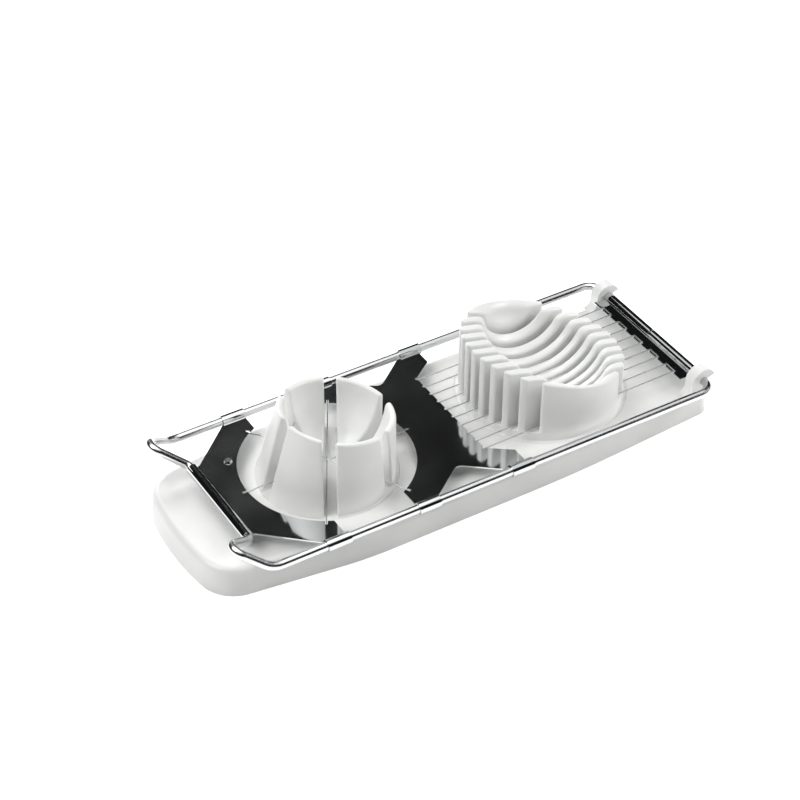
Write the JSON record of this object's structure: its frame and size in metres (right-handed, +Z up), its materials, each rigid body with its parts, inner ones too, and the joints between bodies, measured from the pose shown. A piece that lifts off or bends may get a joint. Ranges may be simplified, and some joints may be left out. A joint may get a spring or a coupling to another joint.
{
  "type": "egg slicer",
  "caption": "Egg cutter: a long white tray with a finger cup for wedges and a ribbed dish for slices, under a hinged bent-wire frame strung with cutting wires.",
  "frame": {"origin": "middle of the tray's foot, on the surface it stands on", "axes": "+X along the tray towards the hinge, +Y across the tray, +Z up"},
  "size_m": [0.2055, 0.08, 0.0401],
  "materials": {
    "white_plastic": "satin gloss moulding",
    "polished_rod": "polished round stainless wire",
    "polished_sheet": "mirror polished stainless sheet",
    "cutting_wire": "drawn stainless wire"
  },
  "bodies": {
    "base": {"base_tray": "white_plastic", "wedge_cup": "white_plastic", "slicing_bed": "white_plastic"},
    "frame": {"frame_wire": "polished_rod", "front_plate": "polished_sheet", "middle_plate": "polished_sheet", "hinge_bar": "polished_sheet", "slicing_wire": "cutting_wire", "wedge_wire_1": "cutting_wire", "wedge_wire_2": "cutting_wire", "wedge_wire_3": "cutting_wire", "anchor_rivet": "cutting_wire"}
  },
  "joints": [
    {"name": "frame_hinge", "type": "hinge", "parent": "base", "child": "frame", "pos_m": [0.0981, 0, 0.0158], "axis": [0, 1, 0], "range_deg": [0, 115]}
  ]
}
